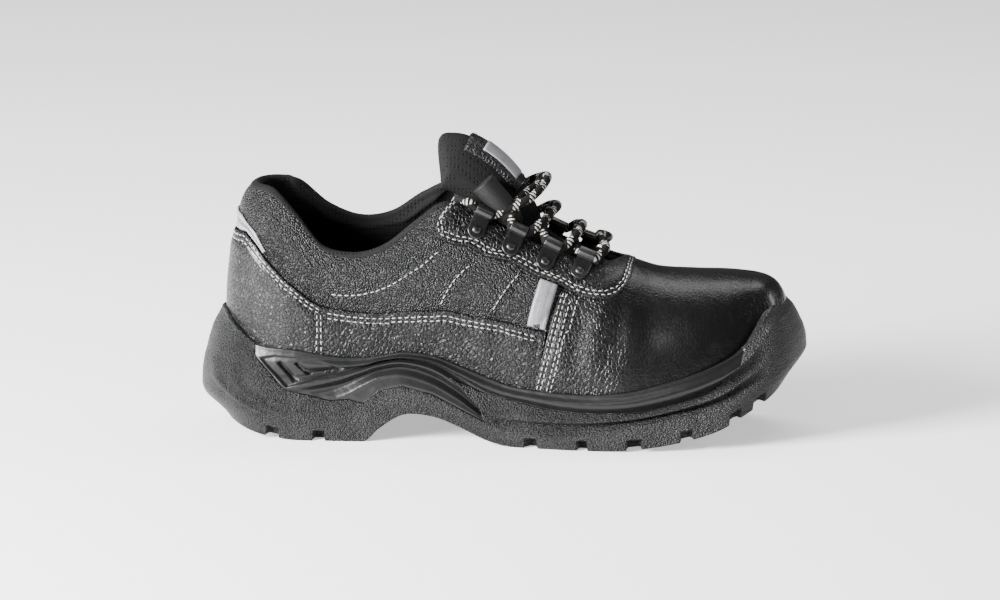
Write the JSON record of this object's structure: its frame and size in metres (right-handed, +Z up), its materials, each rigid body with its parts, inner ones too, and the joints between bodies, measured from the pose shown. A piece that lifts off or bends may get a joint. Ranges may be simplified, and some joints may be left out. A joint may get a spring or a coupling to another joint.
{
  "type": "safety sneaker",
  "caption": "Low black safety shoe, right foot, with padded collar, hooked lacing, lugged dual-texture sole and wrap-round toe bumper.",
  "frame": {"origin": "on the floor under the middle of the shoe's length and width", "axes": "+X towards the toe, +Y towards the medial (inner) side, +Z up"},
  "size_m": [0.302, 0.1037, 0.149],
  "materials": {
    "outsole_rubber": "rough, pitted black sole compound",
    "midsole_rubber": "smooth satin black sole compound",
    "lining": "black woven mesh lining",
    "soft_synthetic": "satin fine-grained black synthetic leather over foam",
    "leather": "semi-gloss embossed black leather",
    "reflective": "light grey reflective tape",
    "hook_metal": "black painted metal",
    "lace_cord": "round woven black cord with light flecks"
  },
  "bodies": {
    "root": {"outsole": "outsole_rubber", "midsole": "midsole_rubber", "insole": "lining", "upper": "soft_synthetic", "tongue": "soft_synthetic", "tongue_patch": "leather", "heel_counter": "leather", "quarter_lateral": "leather", "quarter_medial": "leather", "vamp": "leather", "eyestay": "leather", "side_strip_lateral": "reflective", "side_strip_medial": "reflective", "heel_strip": "reflective", "lace_hook_lateral_1": "hook_metal", "lace_hook_lateral_2": "hook_metal", "lace_hook_lateral_3": "hook_metal", "lace_hook_lateral_4": "hook_metal", "lace_hook_medial_1": "hook_metal", "lace_hook_medial_2": "hook_metal", "lace_hook_medial_3": "hook_metal", "lace_hook_medial_4": "hook_metal", "lace_front_bar": "lace_cord", "lace_crossing_1": "lace_cord", "lace_crossing_2": "lace_cord", "lace_crossing_3": "lace_cord"}
  },
  "joints": []
}
